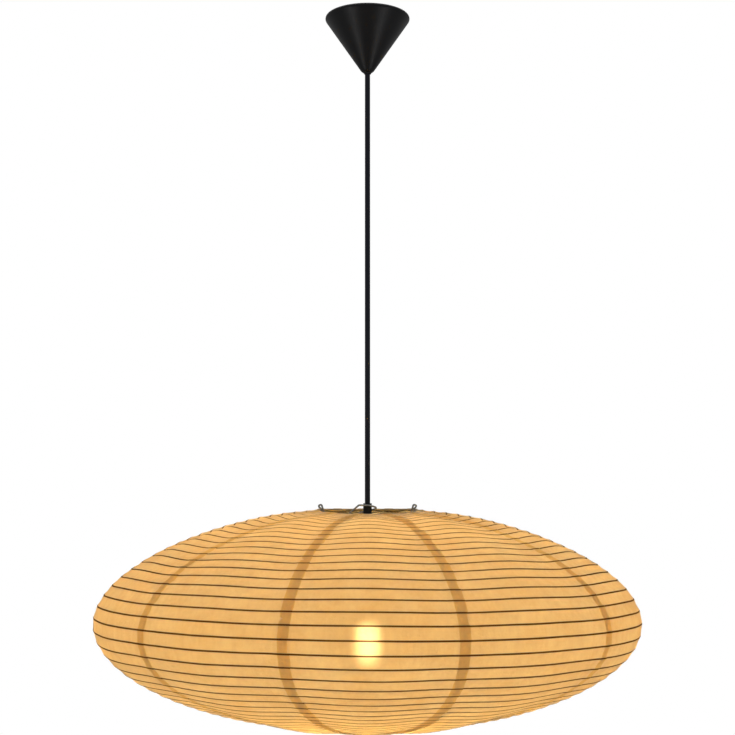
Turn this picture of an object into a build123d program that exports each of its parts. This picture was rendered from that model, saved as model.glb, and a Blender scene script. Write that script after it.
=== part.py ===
"""Paper lantern on a pendant cord.

Eleven paper gores over one spiral rib make a wide, low globe.  A bent wire stretcher holds its two
rings apart and hangs by a coil on the shoulder of the lampholder.  The lampholder hangs on a straight
cord from a link on a ceiling hook, and a cone-shaped canopy rides on the cord and hides the hook.

Frame: millimetres, +Z up, origin on the ceiling in the middle of the ceiling plate's upper face.
The front is -Y.  A height called rise is measured up from the lantern's top ring.
"""

import os
from math import acos, asin, atan2, cos, hypot, pi, radians, sin

from build123d import *

# ---------------------------------------------------------------- ceiling plate, hook and link
PLATE_R = 28.0
PLATE_T = 1.5
PLATE_HOLE_R = 2.25
PLATE_HOLE_SPACING = 42.0
HOOK_WIRE_D = 3.5
HOOK_DROP = 22.0
HOOK_REACH = 7.0
HOOK_BEND_R = 5.0
HOOK_SHANK_BEND_R = 2.5
HOOK_SHANK_END = 1.0
HOOK_TIP_RISE = 8.0
NUT_ACROSS_FLATS = 8.0
NUT_T = 3.0
LINK_WIRE_D = 2.5
LINK_HEIGHT = 17.0
LINK_WIDTH = 11.0
LINK_BEND_R = 3.0
HANG_CLEARANCE = 0.1

# ---------------------------------------------------------------- terminal block on the plate
BLOCK_LENGTH = 22.0
BLOCK_DEPTH = 10.0
BLOCK_HEIGHT = 11.0
BLOCK_Y = 19.0
TERMINAL_SPACING = 11.0
TERMINAL_BORE_R = 1.6
TERMINAL_SCREW_R = 1.5
TERMINAL_SCREW_LENGTH = 4.5
SLOT_WIDTH = 0.5
SLOT_DEPTH = 0.6

# ---------------------------------------------------------------- cord and the grip that carries it
CORD_D = 6.0
GRIP_R = 6.5
GRIP_LENGTH = 16.0
GRIP_CORD_DEPTH = 9.0
GRIP_EAR_T = 3.0
GRIP_EAR_R = 4.5
GRIP_EAR_ROOT = 1.0
GRIP_LINK_GAP = 1.5
GRIP_SCREW_R = 1.5
CORD_SHOWN = 501.0
CORD_CLEARANCE = 0.05

# ---------------------------------------------------------------- canopy
CANOPY_GAP = 2.0
CANOPY_R = 48.8
CANOPY_HEIGHT = 68.0
CANOPY_TIP_R = 10.0
CANOPY_WALL = 1.2
CANOPY_HOLE_R = 4.2
RIM_ROLL_R = 3.0
RIM_ROLL_END_DEG = 110.0
GROMMET_FLANGE_R = 5.6
GROMMET_FLANGE_T = 1.0

# ---------------------------------------------------------------- lantern globe
LANTERN_R = 300.0
OPENING_R = 55.0
TOP_HEIGHT = 121.8
BOTTOM_DEPTH = 116.4
TOP_SQUARENESS = (1.89, 1.91)
BOTTOM_SQUARENESS = (2.09, 1.62)
RING_WIRE_D = 2.5
RIB_WIDTH = 1.3
RIB_SIDES = 8
RIB_PITCH = 13.5
RIB_CLEARANCE = 0.3
GORE_COUNT = 11
FIRST_SEAM_DEG = -106.0
PAPER_T = 0.3
LAP_WIDTH = 11.0
LAP_CLEARANCE = 0.05
PROFILE_STEPS = 9

# ---------------------------------------------------------------- wire stretcher
STRETCHER_WIRE_D = 2.0
NOTCH_CLEARANCE = 0.25
NOTCH_BEND_R = 1.3
STRETCHER_BEND_R = 5.0
ARM_DROP = 13.0
ARM_INSET = 9.0
ARM_REACH = 30.4
CREST_INSET = 3.5
CREST_RISE = 5.6
COIL_R = 9.5
COIL_TOP_RISE = 5.0
COIL_PITCH = 13.0
COIL_CORNERS = 8

# ---------------------------------------------------------------- lampholder
NECK_R = 4.8
NECK_RISE = 7.0
DOME_HEIGHT = 23.0
DOME_TOP_R = 12.0
HOLDER_R = 20.0
HOLDER_WALL = 2.0
HOLDER_HEIGHT = 46.0
HOLDER_JOINT_LAP = 5.0
KNOT_PLATE_T = 2.0
CORE_T = 9.0
CORE_RISE = 1.0
CORE_SCREW_SPACING = 16.5
SCREW_HEAD_T = 1.5
SCREW_END_GAP = 0.5
CAP_CLEARANCE = 0.25
SHELL_WALL = 0.5
SHELL_HEIGHT = 27.0
CONTACT_T = 0.6
CONTACT_LENGTH = 18.0
CONTACT_WIDTH = 5.0
SEAT_CLEARANCE = 0.05

# ---------------------------------------------------------------- lamp
CAP_R = 13.1
CAP_WALL = 0.5
CAP_HEIGHT = 25.0
INSULATOR_T = 3.0
TIP_R = 4.5
TIP_T = 1.2
HOUSING_R = 19.0
HOUSING_HEIGHT = 51.5
HOUSING_WALL = 1.8
SPIGOT_HEIGHT = 6.0
FLARE_GAP = 1.0
FLARE_HEIGHT = 6.0
DIFFUSER_R = 11.0
DIFFUSER_WALL = 1.2
DIFFUSER_LENGTH = 52.5
COLUMN_R = 7.0
COLUMN_RISE = 6.0
DRIVER_GAP = 4.0
DRIVER_HEIGHT = 18.0

# ---------------------------------------------------------------- heights worked out from the above
CANOPY_TIP_Z = -CANOPY_GAP - CANOPY_HEIGHT
RING_Z = CANOPY_TIP_Z - CORD_SHOWN
EQUATOR_Z = RING_Z - TOP_HEIGHT
BOTTOM_RING_Z = EQUATOR_Z - BOTTOM_DEPTH
HOOK_Z = -HOOK_DROP
LINK_TOP_Z = HOOK_Z + (HOOK_WIRE_D + LINK_WIRE_D) / 2 + HANG_CLEARANCE
LINK_BOTTOM_Z = LINK_TOP_Z - LINK_HEIGHT
GRIP_TOP_Z = LINK_BOTTOM_Z - LINK_WIRE_D / 2 - GRIP_LINK_GAP
GRIP_BOTTOM_Z = GRIP_TOP_Z - GRIP_LENGTH
CORD_R = CORD_D / 2
CORD_TOP_Z = GRIP_BOTTOM_Z + GRIP_CORD_DEPTH
COIL_BOTTOM_RISE = COIL_TOP_RISE - COIL_PITCH
DOME_TOP_Z = RING_Z + COIL_BOTTOM_RISE - STRETCHER_WIRE_D / 2 - HANG_CLEARANCE
DOME_BOTTOM_Z = DOME_TOP_Z - DOME_HEIGHT
HOLDER_BOTTOM_Z = DOME_BOTTOM_Z - HOLDER_HEIGHT
NECK_TOP_Z = RING_Z + NECK_RISE
CORD_BOTTOM_Z = DOME_TOP_Z - HOLDER_WALL
CORE_TOP_Z = DOME_BOTTOM_Z + CORE_RISE
CORE_BOTTOM_Z = CORE_TOP_Z - CORE_T
SHELL_BORE_R = CAP_R + CAP_CLEARANCE
SHELL_BOTTOM_Z = CORE_BOTTOM_Z - SHELL_HEIGHT
CONTACT_BOTTOM_Z = CORE_BOTTOM_Z - 2 * CONTACT_T
TIP_TOP_Z = CONTACT_BOTTOM_Z - SEAT_CLEARANCE
INSULATOR_TOP_Z = TIP_TOP_Z - TIP_T
CAP_TOP_Z = INSULATOR_TOP_Z - INSULATOR_T
CAP_BOTTOM_Z = CAP_TOP_Z - CAP_HEIGHT
HOUSING_BOTTOM_Z = CAP_BOTTOM_Z - HOUSING_HEIGHT
DIFFUSER_BOTTOM_Z = HOUSING_BOTTOM_Z - DIFFUSER_LENGTH


def disc(radius, top_z, thickness, x=0.0, y=0.0):
    """A round plate or rod whose upper face is at top_z."""
    return Pos(x, y, top_z - thickness / 2) * Cylinder(radius, thickness)


def turned(points):
    """A solid of revolution about Z from a closed outline of (radius, z) points."""
    outline = Polyline(*[(radius, 0, z) for radius, z in points], close=True)
    return revolve(make_face(outline), axis=Axis.Z)


def bent_wire(path, diameter):
    """A round wire of one diameter along a path."""
    start = path.edges()[0]
    section = Plane(origin=start @ 0, z_dir=start % 0) * Circle(diameter / 2)
    return sweep(section, path=path)


def save(name, shape):
    """Write one node."""
    export_step(shape, f"parts/{name}.step")


# ---------------------------------------------------------------- ceiling side
def ceiling_plate():
    """Round steel plate with two screw holes and a threaded hole for the hook."""
    plate = disc(PLATE_R, 0, PLATE_T)
    for side in (-1, 1):
        plate -= disc(PLATE_HOLE_R, 0, PLATE_T, x=side * PLATE_HOLE_SPACING / 2)
    return plate - disc(HOOK_WIRE_D / 2, 0, PLATE_T)


def ceiling_hook():
    """Wire hook: its shank fills the plate's hole and its lowest point is under the shank."""
    corner_z = HOOK_Z + 2 * HOOK_BEND_R
    points = [
        (0, 0, 0),
        (0, 0, -PLATE_T - NUT_T - HOOK_SHANK_END),
        (HOOK_REACH, 0, corner_z),
        (HOOK_REACH, 0, HOOK_Z),
        (-HOOK_REACH, 0, HOOK_Z),
        (-HOOK_REACH, 0, HOOK_Z + HOOK_TIP_RISE),
    ]
    bends = [HOOK_SHANK_BEND_R] * 2 + [HOOK_BEND_R] * 2
    return bent_wire(FilletPolyline(*points, radius=bends), HOOK_WIRE_D)


def hook_nut():
    """Hexagonal nut that locks the hook under the plate."""
    prism = extrude(RegularPolygon(NUT_ACROSS_FLATS / 2, 6, major_radius=False), NUT_T)
    return Pos(0, 0, -PLATE_T - NUT_T) * prism - disc(HOOK_WIRE_D / 2, -PLATE_T, NUT_T)


def terminal_block():
    """Two-pole block under the plate, with a wire bore along Y and a screw hole for each pole."""
    block_z = -PLATE_T - BLOCK_HEIGHT / 2
    block = Pos(0, BLOCK_Y, block_z) * Box(BLOCK_LENGTH, BLOCK_DEPTH, BLOCK_HEIGHT)
    for side in (-1, 1):
        x = side * TERMINAL_SPACING / 2
        bore = Rot(90, 0, 0) * Cylinder(TERMINAL_BORE_R, BLOCK_DEPTH)
        block -= Pos(x, BLOCK_Y, block_z) * bore
        block -= disc(TERMINAL_SCREW_R, block_z, BLOCK_HEIGHT / 2, x=x, y=BLOCK_Y)
    return block


def terminal_screws():
    """The two clamping screws, in their holes from below."""
    screws = []
    for side in (-1, 1):
        bottom_z = -PLATE_T - BLOCK_HEIGHT
        rod_r = TERMINAL_SCREW_R - SEAT_CLEARANCE
        top_z = bottom_z + TERMINAL_SCREW_LENGTH
        x = side * TERMINAL_SPACING / 2
        rod = disc(rod_r, top_z, TERMINAL_SCREW_LENGTH, x=x, y=BLOCK_Y)
        slot = Box(2 * TERMINAL_SCREW_R, SLOT_WIDTH, SLOT_DEPTH)
        slot = Pos(x, BLOCK_Y, bottom_z + SLOT_DEPTH / 2) * slot
        screws.append(rod - slot)
    return Compound(children=screws)


def hanger_link():
    """Closed wire link: its top bar lies over the hook and its bottom bar carries the grip."""
    half = LINK_WIDTH / 2
    points = [
        (0, 0, LINK_TOP_Z),
        (0, half, LINK_TOP_Z),
        (0, half, LINK_BOTTOM_Z),
        (0, 0, LINK_BOTTOM_Z),
    ]
    half_path = FilletPolyline(*points, radius=LINK_BEND_R)
    half_link = bent_wire(half_path, LINK_WIRE_D)
    return half_link + mirror(half_link, about=Plane.XZ)


# ---------------------------------------------------------------- cord
def cord_grip():
    """Moulded grip with an ear on the link's bottom bar and a blind bore that holds the cord."""
    body = disc(GRIP_R, GRIP_TOP_Z, GRIP_LENGTH)
    ear_centre = Pos(0, 0, LINK_BOTTOM_Z)
    stem_height = LINK_BOTTOM_Z - GRIP_TOP_Z + GRIP_EAR_ROOT
    ear = ear_centre * Rot(90, 0, 0) * Cylinder(GRIP_EAR_R, GRIP_EAR_T)
    stem = Box(2 * GRIP_EAR_R, GRIP_EAR_T, stem_height)
    ear += Pos(0, 0, LINK_BOTTOM_Z - stem_height / 2) * stem
    pin_bore = ear_centre * Rot(90, 0, 0) * Cylinder(LINK_WIRE_D / 2 + HANG_CLEARANCE, GRIP_EAR_T)
    cord_bore = disc(CORD_R + CORD_CLEARANCE, CORD_TOP_Z, GRIP_CORD_DEPTH)
    screw_z = GRIP_BOTTOM_Z + GRIP_CORD_DEPTH / 2
    screw_bore = Pos(GRIP_R / 2, 0, screw_z) * Rot(0, 90, 0) * Cylinder(GRIP_SCREW_R, GRIP_R)
    return body + ear - pin_bore - cord_bore - screw_bore


def grip_screw():
    """Grub screw that pinches the cord in the grip."""
    screw_z = GRIP_BOTTOM_Z + GRIP_CORD_DEPTH / 2
    inner_x = CORD_R + CORD_CLEARANCE
    length = GRIP_R - inner_x
    rod = Cylinder(GRIP_SCREW_R - SEAT_CLEARANCE, length)
    return Pos(inner_x + length / 2, 0, screw_z) * Rot(0, 90, 0) * rod


def cord():
    """The round cord, pulled straight by the lantern's weight."""
    return disc(CORD_R, CORD_TOP_Z, CORD_TOP_Z - CORD_BOTTOM_Z)


# ---------------------------------------------------------------- canopy
def canopy_outline(inset):
    """Edges of the cone's outline, moved in by an inset, from the rolled rim down to the hole."""
    rim_r = RIM_ROLL_R - inset
    tip_r = CANOPY_TIP_R - inset
    rim_x = CANOPY_R - RIM_ROLL_R
    rim_z = -CANOPY_GAP - RIM_ROLL_R
    tip_z = CANOPY_TIP_Z + CANOPY_TIP_R
    apart = hypot(rim_x, rim_z - tip_z)
    flank = atan2(rim_z - tip_z, rim_x) - acos((tip_r - rim_r) / apart)
    roll_end = radians(RIM_ROLL_END_DEG)
    hole = -acos(CANOPY_HOLE_R / tip_r)

    def on_rim(angle):
        return (rim_x + rim_r * cos(angle), 0, rim_z + rim_r * sin(angle))

    def on_tip(angle):
        return (tip_r * cos(angle), 0, tip_z + tip_r * sin(angle))

    return [
        ThreePointArc(on_rim(roll_end), on_rim((roll_end + flank) / 2), on_rim(flank)),
        Line(on_rim(flank), on_tip(flank)),
        ThreePointArc(on_tip(flank), on_tip((flank + hole) / 2), on_tip(hole)),
    ]


def canopy():
    """Cone of sheet steel with a rolled rim, a rounded tip and a hole for the grommet."""
    outer = canopy_outline(0)
    inner = canopy_outline(CANOPY_WALL)
    ends = [Line(outer[0] @ 0, inner[0] @ 0), Line(outer[2] @ 1, inner[2] @ 1)]
    return revolve(make_face(outer + ends + inner), axis=Axis.Z)


def grommet():
    """Rubber bush in the canopy's tip that grips the cord."""
    bore_r = CORD_R + CORD_CLEARANCE
    sleeve_r = CANOPY_HOLE_R - SEAT_CLEARANCE
    top_z = CANOPY_TIP_Z + CANOPY_TIP_R
    bush = disc(sleeve_r, top_z, top_z - CANOPY_TIP_Z)
    return bush - disc(bore_r, top_z, top_z - CANOPY_TIP_Z)


# ---------------------------------------------------------------- lantern globe
def half_depth(rise, squareness):
    """Height of the closed curve whose radius is OPENING_R at this rise."""
    vertical, radial = squareness
    return rise / (1 - (OPENING_R / LANTERN_R) ** radial) ** (1 / vertical)


def globe_point(turn, inset):
    """Point (radius, z) on the globe's profile; turn runs from -pi/2 at the bottom to pi/2."""
    rise, squareness = (TOP_HEIGHT, TOP_SQUARENESS) if turn > 0 else (BOTTOM_DEPTH, BOTTOM_SQUARENESS)
    vertical, radial = squareness
    height = half_depth(rise, squareness) - inset
    z = height * abs(sin(turn)) ** (2 / vertical)
    radius = (LANTERN_R - inset) * cos(turn) ** (2 / radial)
    return radius, EQUATOR_Z + (z if turn > 0 else -z)


def end_turn(radius, squareness, sign):
    """The profile parameter where the globe has this radius."""
    cosine = (radius / LANTERN_R) ** (squareness[1] / 2)
    return sign * (pi / 2 - asin(cosine))


def skin_turns():
    """Evenly spaced parameters from the bottom ring to the top ring, both ends included."""
    edge_r = OPENING_R + RING_WIRE_D / 2 + LAP_CLEARANCE
    low = end_turn(edge_r, BOTTOM_SQUARENESS, -1)
    high = end_turn(edge_r, TOP_SQUARENESS, 1)
    below = [low * step / PROFILE_STEPS for step in range(PROFILE_STEPS, 0, -1)]
    above = [high * step / PROFILE_STEPS for step in range(PROFILE_STEPS + 1)]
    return below + above


def skin_face(inner_inset, outer_inset):
    """Thin face between two insets of the globe's profile, in the XZ plane."""
    outer = [(r, 0, z) for r, z in (globe_point(turn, outer_inset) for turn in skin_turns())]
    inner = [(r, 0, z) for r, z in (globe_point(turn, inner_inset) for turn in skin_turns())]
    edges = [
        Spline(*outer),
        Line(outer[-1], inner[-1]),
        Spline(*inner[::-1]),
        Line(inner[0], outer[0]),
    ]
    return make_face(edges)


def skin_patch(inner_inset, outer_inset, start_deg, sweep_deg):
    """A patch of paper between two insets, turned from one angle through another."""
    patch = revolve(skin_face(inner_inset, outer_inset), axis=Axis.Z, revolution_arc=sweep_deg)
    return Rot(0, 0, start_deg) * patch


def paper_gore(index):
    """One gore: a panel, and a pasted lap that steps out over the next gore's edge."""
    width_deg = 360 / GORE_COUNT
    gap_deg = LAP_CLEARANCE / LANTERN_R * 180 / pi
    step_deg = PAPER_T / LANTERN_R * 180 / pi
    lap_deg = LAP_WIDTH / LANTERN_R * 180 / pi
    start = FIRST_SEAM_DEG + index * width_deg
    end = start + width_deg - gap_deg
    outer_inset = -LAP_CLEARANCE - PAPER_T
    panel = skin_patch(PAPER_T, 0, start, width_deg - gap_deg - step_deg)
    step = skin_patch(PAPER_T, outer_inset, end - step_deg, step_deg)
    lap = skin_patch(-LAP_CLEARANCE, outer_inset, end, lap_deg)
    return panel + step + lap


def lantern_ring(z):
    """One of the two closed wire rings that edge the openings."""
    return Pos(0, 0, z) * Torus(OPENING_R, RING_WIRE_D / 2)


def rib_stations(inset):
    """Points (radius, z) every half pitch along the profile, from the top ring down."""
    samples = 2000
    high = end_turn(OPENING_R, TOP_SQUARENESS, 1)
    low = end_turn(OPENING_R, BOTTOM_SQUARENESS, -1)
    half_pitch = RIB_PITCH / 2
    stations = []
    travelled = 0.0
    last = globe_point(high, inset)
    for sample in range(1, samples + 1):
        point = globe_point(high + (low - high) * sample / samples, inset)
        travelled += hypot(point[0] - last[0], point[1] - last[1])
        last = point
        if travelled >= half_pitch * (len(stations) + 1):
            stations.append(point)
    return stations[:-1]


def spiral_rib():
    """One cane strip wound from ring to ring: half turns whose ends lie alternately at +X and -X."""
    inset = PAPER_T + RIB_CLEARANCE + RIB_WIDTH / 2
    half_turns = []
    side = 1
    stations = rib_stations(inset)
    for (start_r, start_z), (end_r, end_z) in zip(stations, stations[1:]):
        start = Vector(side * start_r, 0, start_z)
        end = Vector(-side * end_r, 0, end_z)
        middle = (start + end) * 0.5 + Vector(0, side, 0) * ((end - start).length / 2)
        half_turns.append(ThreePointArc(start, middle, end))
        side = -side
    path = Wire(half_turns)
    section = Plane(origin=path @ 0, z_dir=path % 0) * RegularPolygon(RIB_WIDTH / 2, RIB_SIDES)
    return sweep(section, path=path)


# ---------------------------------------------------------------- wire stretcher
def notch_points(ring_z, side, direction):
    """Corners from the leg round a ring's inside to just past it; direction is +1 at the top."""
    keep = (RING_WIRE_D + STRETCHER_WIRE_D) / 2 + NOTCH_CLEARANCE
    offsets = [
        (-2.2 * keep, -4.8 * keep),
        (0.25 * keep, -1.75 * keep),
        (-1.5 * keep, 0),
        (0.3 * keep, 1.8 * keep),
    ]
    return [(side * (OPENING_R + x), 0, ring_z + direction * z) for x, z in offsets]


def stretcher_half(side):
    """Corners from the foot's tip up the leg and over the top ring to the arm's inner end."""
    foot = notch_points(BOTTOM_RING_Z, side, -1)[::-1]
    top = notch_points(RING_Z, side, 1)
    arm_z = RING_Z - ARM_DROP
    crest = (side * (OPENING_R - CREST_INSET), 0, RING_Z + CREST_RISE)
    arm_outer = (side * (OPENING_R - ARM_INSET), 0, arm_z)
    arm_inner = (side * ARM_REACH, -COIL_R, arm_z)
    return foot + top + [crest, arm_outer, arm_inner]


def coil_points():
    """Corners of one falling turn round the neck, from high at the front to low at the front."""
    corner_r = COIL_R / cos(pi / COIL_CORNERS)
    points = [(-COIL_R, -COIL_R, RING_Z + COIL_TOP_RISE)]
    for corner in range(COIL_CORNERS):
        turn = (corner + 0.5) / COIL_CORNERS
        angle = radians(-90) + 2 * pi * turn
        z = RING_Z + COIL_TOP_RISE - COIL_PITCH * turn
        points.append((corner_r * cos(angle), corner_r * sin(angle), z))
    points.append((COIL_R, -COIL_R, RING_Z + COIL_BOTTOM_RISE))
    return points


def wire_stretcher():
    """One bent wire: foot, leg, notch and arm on each side, and a coil round the neck between."""
    points = stretcher_half(-1) + coil_points() + stretcher_half(1)[::-1]
    notch = [NOTCH_BEND_R, NOTCH_BEND_R]
    half_bends = notch + [STRETCHER_BEND_R] * 2 + notch * 2 + [STRETCHER_BEND_R] * 2
    coil = [0.3 * COIL_R] + [0.9 * COIL_R] * COIL_CORNERS + [0.3 * COIL_R]
    path = FilletPolyline(*points, radius=half_bends + coil + half_bends[::-1])
    return bent_wire(path, STRETCHER_WIRE_D)


# ---------------------------------------------------------------- lampholder
def holder_dome():
    """Upper half of the holder: cord neck and rounded shoulder that carries the coil."""
    corner_z = DOME_TOP_Z - (HOLDER_R - DOME_TOP_R)
    outline = [
        (CORD_R + CORD_CLEARANCE, NECK_TOP_Z),
        (NECK_R, NECK_TOP_Z),
        (NECK_R, DOME_TOP_Z),
        (DOME_TOP_R, DOME_TOP_Z),
        (HOLDER_R, corner_z),
        (HOLDER_R, DOME_BOTTOM_Z),
        (HOLDER_R - HOLDER_WALL, DOME_BOTTOM_Z),
        (HOLDER_R - HOLDER_WALL, corner_z - HOLDER_WALL / 2),
        (DOME_TOP_R - HOLDER_WALL / 2, DOME_TOP_Z - HOLDER_WALL),
        (CORD_R + CORD_CLEARANCE, DOME_TOP_Z - HOLDER_WALL),
    ]
    return turned(outline)


def cord_knot_plate():
    """Clamp plate under the neck that the cord's end rests on."""
    return disc(DOME_TOP_R - 2 * HOLDER_WALL, CORD_BOTTOM_Z, KNOT_PLATE_T)


def holder_body():
    """Lower skirt, with a thinner collar that screws up into the dome."""
    outer_lap_r = HOLDER_R - HOLDER_WALL - SEAT_CLEARANCE
    inner_r = outer_lap_r - HOLDER_WALL / 2
    outline = [
        (inner_r, DOME_BOTTOM_Z + HOLDER_JOINT_LAP),
        (outer_lap_r, DOME_BOTTOM_Z + HOLDER_JOINT_LAP),
        (outer_lap_r, DOME_BOTTOM_Z),
        (HOLDER_R, DOME_BOTTOM_Z),
        (HOLDER_R, HOLDER_BOTTOM_Z),
        (inner_r, HOLDER_BOTTOM_Z),
    ]
    return turned(outline)


def holder_core():
    """Ceramic insert that carries the contacts inside the skirt."""
    inner_r = HOLDER_R - 1.5 * HOLDER_WALL - 2 * SEAT_CLEARANCE
    core = disc(inner_r, CORE_TOP_Z, CORE_T)
    for side in (-1, 1):
        core -= disc(TERMINAL_SCREW_R, CORE_TOP_Z, CORE_T / 2, x=side * CORE_SCREW_SPACING / 2)
    return core


def core_screws():
    """The two terminal screws on top of the ceramic insert."""
    screws = []
    for side in (-1, 1):
        x = side * CORE_SCREW_SPACING / 2
        head_z = CORE_TOP_Z + SCREW_HEAD_T
        shank = disc(TERMINAL_SCREW_R - SEAT_CLEARANCE, CORE_TOP_Z, CORE_T / 2 - SCREW_END_GAP, x=x)
        head = disc(2 * TERMINAL_SCREW_R, head_z, SCREW_HEAD_T, x=x)
        slot = Box(4 * TERMINAL_SCREW_R, SLOT_WIDTH, SLOT_DEPTH)
        slot = Pos(x, 0, head_z - SLOT_DEPTH / 2) * slot
        screws.append(shank + head - slot)
    return Compound(children=screws)


def screw_shell():
    """Brass sleeve that takes the lamp's cap."""
    sleeve = disc(SHELL_BORE_R + SHELL_WALL, CORE_BOTTOM_Z, SHELL_HEIGHT)
    return sleeve - disc(SHELL_BORE_R, CORE_BOTTOM_Z, SHELL_HEIGHT)


def centre_contact():
    """Brass tongue that presses on the lamp's tip."""
    tongue = Pos(0, 0, CORE_BOTTOM_Z - CONTACT_T / 2) * Box(CONTACT_LENGTH, CONTACT_WIDTH, CONTACT_T)
    return tongue + disc(TIP_R / 2, CORE_BOTTOM_Z - CONTACT_T, CONTACT_T)


# ---------------------------------------------------------------- lamp
def lamp_tip():
    """Solder contact at the top of the lamp's cap."""
    return disc(TIP_R, TIP_TOP_Z, TIP_T)


def lamp_insulator():
    """Glass ring between the tip and the cap."""
    outline = [
        (0, INSULATOR_TOP_Z),
        (TIP_R, INSULATOR_TOP_Z),
        (CAP_R - CAP_WALL, CAP_TOP_Z),
        (0, CAP_TOP_Z),
    ]
    return turned(outline)


def lamp_cap():
    """Metal screw cap of the lamp."""
    outline = [
        (CAP_R - 3 * CAP_WALL, CAP_TOP_Z),
        (CAP_R, CAP_TOP_Z),
        (CAP_R, CAP_BOTTOM_Z),
        (CAP_R - CAP_WALL, CAP_BOTTOM_Z),
        (CAP_R - CAP_WALL, CAP_TOP_Z - CAP_WALL),
        (CAP_R - 3 * CAP_WALL, CAP_TOP_Z - CAP_WALL),
    ]
    return turned(outline)


def lamp_housing():
    """White plastic housing between cap and diffuser, hollow for the driver."""
    neck_r = CAP_R - CAP_WALL - SEAT_CLEARANCE
    spigot_z = CAP_BOTTOM_Z + SPIGOT_HEIGHT
    neck_z = HOLDER_BOTTOM_Z - FLARE_GAP
    flare_z = neck_z - FLARE_HEIGHT
    wall = HOUSING_WALL
    outline = [
        (neck_r, spigot_z),
        (neck_r, CAP_BOTTOM_Z),
        (CAP_R, CAP_BOTTOM_Z),
        (CAP_R, neck_z),
        (HOUSING_R, flare_z),
        (HOUSING_R, HOUSING_BOTTOM_Z),
        (COLUMN_R + SEAT_CLEARANCE, HOUSING_BOTTOM_Z),
        (COLUMN_R + SEAT_CLEARANCE, HOUSING_BOTTOM_Z + wall),
        (HOUSING_R - wall, HOUSING_BOTTOM_Z + wall),
        (HOUSING_R - wall, flare_z - wall),
        (neck_r - wall, neck_z - wall),
        (neck_r - wall, spigot_z),
    ]
    return turned(outline)


def lamp_driver():
    """Round driver block of the lamp, on top of the light column."""
    top_z = HOUSING_BOTTOM_Z + COLUMN_RISE + DRIVER_HEIGHT
    return disc(HOUSING_R - DRIVER_GAP, top_z, DRIVER_HEIGHT)


def lamp_column():
    """Column that carries the light sources inside the diffuser."""
    top_z = HOUSING_BOTTOM_Z + COLUMN_RISE
    length = DIFFUSER_LENGTH - DIFFUSER_R + COLUMN_RISE
    return disc(COLUMN_R, top_z, length)


def lamp_diffuser():
    """Opal tube with a rounded end."""
    inner_r = DIFFUSER_R - DIFFUSER_WALL
    centre_z = DIFFUSER_BOTTOM_Z + DIFFUSER_R
    length = HOUSING_BOTTOM_Z - centre_z
    tube = disc(DIFFUSER_R, HOUSING_BOTTOM_Z, length) + Pos(0, 0, centre_z) * Sphere(DIFFUSER_R)
    bore = disc(inner_r, HOUSING_BOTTOM_Z, length) + Pos(0, 0, centre_z) * Sphere(inner_r)
    return tube - bore


NODES = {
    "ceiling_plate": ceiling_plate,
    "ceiling_hook": ceiling_hook,
    "hook_nut": hook_nut,
    "terminal_block": terminal_block,
    "terminal_screws": terminal_screws,
    "hanger_link": hanger_link,
    "cord_grip": cord_grip,
    "grip_screw": grip_screw,
    "cord": cord,
    "canopy": canopy,
    "grommet": grommet,
    "spiral_rib": spiral_rib,
    "wire_stretcher": wire_stretcher,
    "holder_dome": holder_dome,
    "cord_knot_plate": cord_knot_plate,
    "holder_body": holder_body,
    "holder_core": holder_core,
    "core_screws": core_screws,
    "screw_shell": screw_shell,
    "centre_contact": centre_contact,
    "lamp_tip": lamp_tip,
    "lamp_insulator": lamp_insulator,
    "lamp_cap": lamp_cap,
    "lamp_housing": lamp_housing,
    "lamp_driver": lamp_driver,
    "lamp_column": lamp_column,
    "lamp_diffuser": lamp_diffuser,
}

os.makedirs("parts", exist_ok=True)
for node_name, make_node in NODES.items():
    save(node_name, make_node())
save("top_ring", lantern_ring(RING_Z))
save("bottom_ring", lantern_ring(BOTTOM_RING_Z))
for gore_index in range(GORE_COUNT):
    save(f"paper_gore_{gore_index + 1:02d}", paper_gore(gore_index))
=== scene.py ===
# %% [markdown]
# # A paper lantern on a pendant cord
# A wide, low globe of thin paper over one spiral of split cane, hung from a ceiling by a straight cord.
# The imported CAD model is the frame: every CAD piece stays where it is, and this script adds the looks.
# The soft and hand-made pieces (paper, cane, the hems of the openings) are modelled here, because they
# are never as even as a turned solid. Metal and plastic pieces keep their CAD shape and get a finish.

# %% Load the frame
import math

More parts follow.
